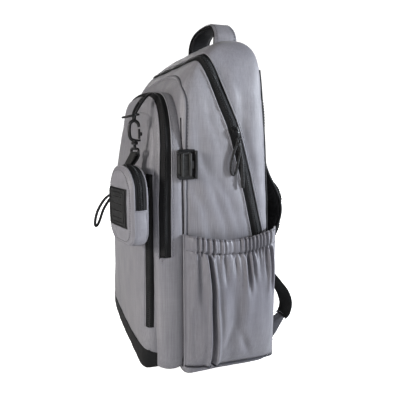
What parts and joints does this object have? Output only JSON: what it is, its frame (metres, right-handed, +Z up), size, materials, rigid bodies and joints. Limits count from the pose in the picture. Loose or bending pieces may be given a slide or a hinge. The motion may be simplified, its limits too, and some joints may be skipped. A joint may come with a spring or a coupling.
{
  "type": "backpack with usb port",
  "caption": "Grey clamshell backpack with zipped compartments, elastic side pockets, padded straps, a carry handle, a USB charging port and a small clip-on pouch on a swivel hook.",
  "frame": {"origin": "on the floor under the middle of the bounding box", "axes": "+Z up, -Y towards the bag's front, +Y towards the wearer's back, +X towards the side with the USB port"},
  "size_m": [0.3406, 0.294, 0.5143],
  "materials": {
    "grey_fabric": "woven nylon, matte",
    "black_mesh": "air mesh over foam",
    "black_webbing": "ribbed webbing",
    "zip_tape": "coil zipper tape",
    "black_cord": "braided cord",
    "lining": "plain lining cloth",
    "board": "stiffener sheet",
    "black_metal": "black plated die casting",
    "black_plastic": "moulded",
    "patch": "plain soft patch",
    "flap_rubber": "soft cover",
    "steel": "plated shell"
  },
  "bodies": {
    "bag": {"main_front_panel": "grey_fabric", "side_panel_right": "grey_fabric", "side_panel_left": "grey_fabric", "top_front_panel": "grey_fabric", "bottom_panel": "grey_fabric", "base_board": "board", "main_zip_tape_front": "zip_tape", "power_bank_pocket": "lining", "mid_gusset": "grey_fabric", "mid_front_panel": "grey_fabric", "mid_zip_tape_rear": "zip_tape", "mid_zip_tape_front": "zip_tape", "front_boot_patch": "black_mesh", "front_zip_tape": "zip_tape", "front_pocket": "grey_fabric", "side_pocket_right": "grey_fabric", "elastic_hem_right": "grey_fabric", "side_pocket_left": "grey_fabric", "elastic_hem_left": "grey_fabric", "usb_housing": "black_plastic", "usb_socket": "steel"},
    "back_flap": {"back_shell": "grey_fabric", "main_zip_tape_rear": "zip_tape", "laptop_sleeve": "lining", "back_pad_right": "black_mesh", "back_pad_left": "black_mesh", "handle_tab_right": "grey_fabric", "handle_tab_left": "grey_fabric", "strap_wing_right": "grey_fabric", "strap_wing_left": "grey_fabric"},
    "handle": {"carry_handle": "grey_fabric", "handle_lining": "black_webbing"},
    "strap_right": {"shoulder_strap_right": "black_mesh", "ladder_lock_right": "black_plastic", "strap_webbing_right": "black_webbing"},
    "strap_left": {"shoulder_strap_left": "black_mesh", "ladder_lock_left": "black_plastic", "strap_webbing_left": "black_webbing"},
    "main_slider_right": {"main_slider_right": "black_metal"},
    "main_pull_right": {"main_pull_right": "black_cord"},
    "main_slider_left": {"main_slider_left": "black_metal"},
    "main_pull_left": {"main_pull_left": "black_cord"},
    "mid_slider": {"mid_slider": "black_metal"},
    "mid_pull": {"mid_pull": "black_cord"},
    "front_slider": {"front_slider": "black_metal"},
    "front_pull": {"front_pull": "black_cord"},
    "hang_loop": {"hang_loop": "black_cord", "pull_ring": "black_metal"},
    "hook": {"hook_body": "black_metal"},
    "hook_gate": {"hook_gate": "black_metal"},
    "pouch": {"swivel_eye": "black_metal", "pouch_tab": "black_webbing", "pouch_front": "grey_fabric", "pouch_back": "grey_fabric", "pouch_zip_tape": "zip_tape", "pouch_gusset": "grey_fabric", "pouch_patch": "patch"},
    "pouch_slider": {"pouch_slider": "black_metal"},
    "pouch_pull": {"pouch_pull": "black_cord"},
    "usb_flap": {"usb_flap": "flap_rubber"}
  },
  "joints": [
    {"name": "back_flap_open", "type": "hinge", "parent": "bag", "child": "back_flap", "pos_m": [0, 0.10273, 0.009], "axis": [-1, 0, 0], "range_deg": [0, 45]},
    {"name": "handle_fold", "type": "hinge", "parent": "back_flap", "child": "handle", "pos_m": [0, 0.05673, 0.483], "axis": [1, 0, 0], "range_deg": [-20, 20]},
    {"name": "strap_right_swing", "type": "hinge", "parent": "back_flap", "child": "strap_right", "pos_m": [0.074, 0.08173, 0.436], "axis": [1, 0, 0], "range_deg": [0, 25]},
    {"name": "strap_left_swing", "type": "hinge", "parent": "back_flap", "child": "strap_left", "pos_m": [-0.074, 0.08173, 0.436], "axis": [1, 0, 0], "range_deg": [0, 25]},
    {"name": "main_zip_right_slide", "type": "slide", "parent": "bag", "child": "main_slider_right", "axis": [0.0287, 0.2467, -0.9687], "range_m": [0, 0.083]},
    {"name": "main_pull_right_swing", "type": "hinge", "parent": "main_slider_right", "child": "main_pull_right", "pos_m": [0.1471, 0.03793, 0.3374], "axis": [0, -1, 0], "range_deg": [0, 90]},
    {"name": "main_zip_left_slide", "type": "slide", "parent": "bag", "child": "main_slider_left", "axis": [-0.0287, 0.2467, -0.9687], "range_m": [0, 0.083]},
    {"name": "main_pull_left_swing", "type": "hinge", "parent": "main_slider_left", "child": "main_pull_left", "pos_m": [-0.1471, 0.03793, 0.3374], "axis": [0, 1, 0], "range_deg": [0, 90]},
    {"name": "mid_zip_slide", "type": "slide", "parent": "bag", "child": "mid_slider", "axis": [-0.0176, -0.0224, -0.9996], "range_m": [0, 0.125]},
    {"name": "mid_pull_swing", "type": "hinge", "parent": "mid_slider", "child": "mid_pull", "pos_m": [-0.142, -0.06007, 0.3134], "axis": [0, 1, 0], "range_deg": [0, 90]},
    {"name": "front_zip_slide", "type": "slide", "parent": "bag", "child": "front_slider", "axis": [0, 0, -1], "range_m": [0, 0.13]},
    {"name": "front_pull_swing", "type": "hinge", "parent": "front_slider", "child": "front_pull", "pos_m": [0.1245, -0.08527, 0.2585], "axis": [0.8, -0.6, 0], "range_deg": [0, 12]},
    {"name": "hang_loop_swing", "type": "hinge", "parent": "bag", "child": "hang_loop", "pos_m": [0.092, -0.06877, 0.3985], "axis": [-1, 0, 0], "range_deg": [0, 30]},
    {"name": "hook_swing", "type": "hinge", "parent": "hang_loop", "child": "hook", "pos_m": [0.105, -0.09477, 0.3576], "axis": [-1, 0, 0], "range_deg": [0, 25]},
    {"name": "hook_gate_open", "type": "hinge", "parent": "hook", "child": "hook_gate", "pos_m": [0.105, -0.08837, 0.3318], "axis": [1, 0, 0], "range_deg": [0, 20], "stiffness_Nm_per_rad": 0.02, "springref_deg": -11.46},
    {"name": "pouch_swivel", "type": "hinge", "parent": "hook", "child": "pouch", "pos_m": [0.105, -0.09477, 0.318], "axis": [0, 0, 1], "range_deg": [-12, 5]},
    {"name": "pouch_zip_slide", "type": "slide", "parent": "pouch", "child": "pouch_slider", "axis": [0, 0, -1], "range_m": [0, 0.016]},
    {"name": "pouch_pull_swing", "type": "hinge", "parent": "pouch_slider", "child": "pouch_pull", "pos_m": [0.07073, -0.12337, 0.2598], "axis": [-0.2419, 0.9703, 0], "range_deg": [0, 60]},
    {"name": "usb_flap_open", "type": "hinge", "parent": "bag", "child": "usb_flap", "pos_m": [0.1537, -0.04667, 0.304], "axis": [0, 0, -1], "range_deg": [0, 110]}
  ]
}
